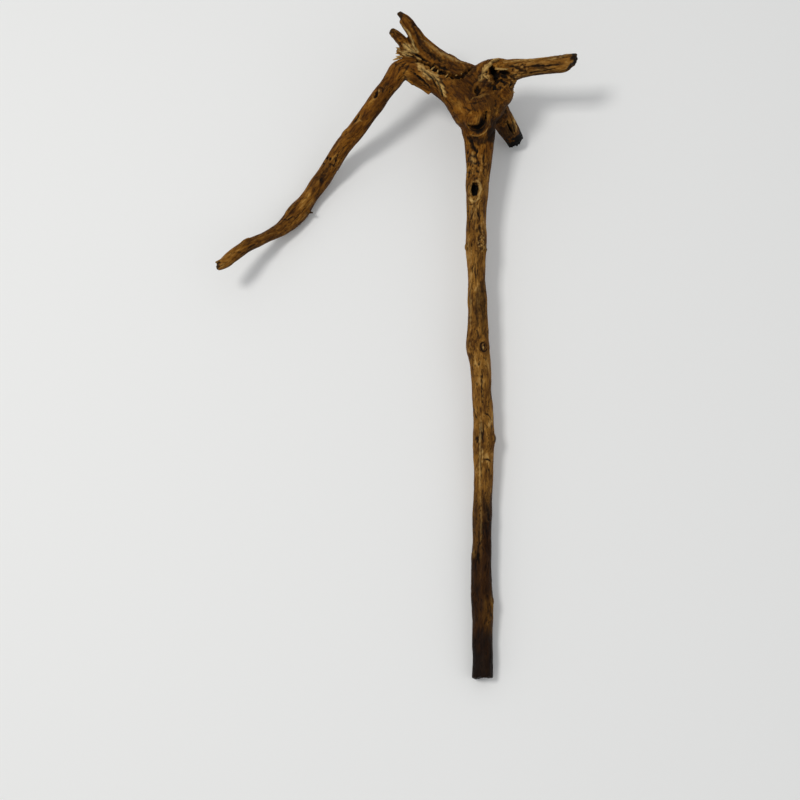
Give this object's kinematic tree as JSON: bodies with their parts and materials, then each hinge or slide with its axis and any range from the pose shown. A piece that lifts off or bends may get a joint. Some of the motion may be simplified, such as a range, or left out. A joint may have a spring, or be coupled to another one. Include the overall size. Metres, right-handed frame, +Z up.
{
  "type": "fallen tree branch",
  "caption": "Bare weathered driftwood branch lying down: a long straight stem, a gnarled forking crown, a drooping side limb, torn spurs, a short arm and a broken stub.",
  "frame": {"origin": "middle of the footprint, on the surface the branch lies on", "axes": "+Y along the stem from its foot to the crown, +Z up from the surface, +X towards the short arm"},
  "size_m": [0.2095, 0.373, 0.0608],
  "materials": {
    "stem_wood": "bare weathered wood, satin, dark and damp towards the foot",
    "crown_wood": "bare gnarled wood, golden brown, satin",
    "limb_wood": "bare weathered wood with long grain, satin",
    "torn_wood": "torn fibrous wood, pale in the breaks, dark at the tips",
    "dark_wood": "broken end, nearly black"
  },
  "bodies": {
    "root": {"stem": "stem_wood", "crown": "crown_wood", "left_limb": "limb_wood", "upper_spur": "torn_wood", "short_spur": "torn_wood", "right_arm": "limb_wood", "back_stub": "dark_wood"}
  },
  "joints": []
}
